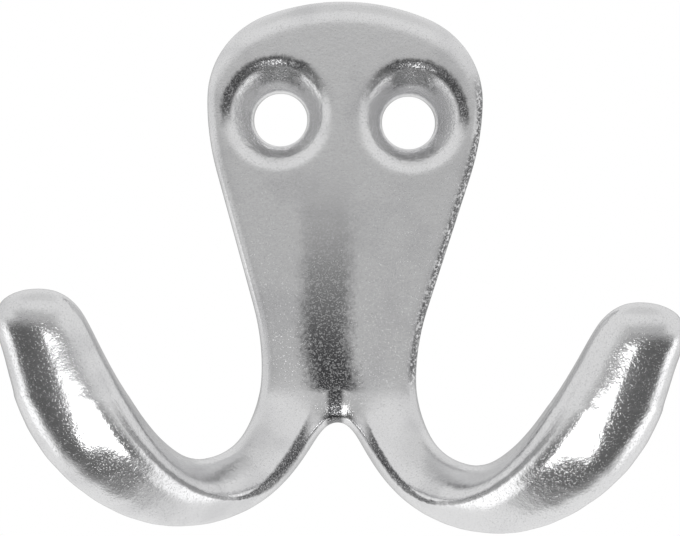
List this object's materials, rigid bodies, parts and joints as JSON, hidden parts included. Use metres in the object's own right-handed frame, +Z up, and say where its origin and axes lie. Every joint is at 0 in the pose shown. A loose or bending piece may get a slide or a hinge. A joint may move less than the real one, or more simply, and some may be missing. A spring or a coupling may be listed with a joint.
{
  "type": "double robe hook",
  "caption": "Cast wall hook with an arched, tapering back plate, countersunk screw holes and paired upswept prongs with bulbous tips, for hanging robes or towels.",
  "frame": {"origin": "on the wall face, midway between the two screw holes", "axes": "+Z up the wall, +Y into the wall, -Y toward the room, X along the row of screw holes"},
  "size_m": [0.049, 0.0226, 0.0405],
  "materials": {
    "plated_zinc": "bright plated casting with a slight orange-peel texture"
  },
  "bodies": {
    "root": {"double_hook": "plated_zinc"}
  },
  "joints": []
}
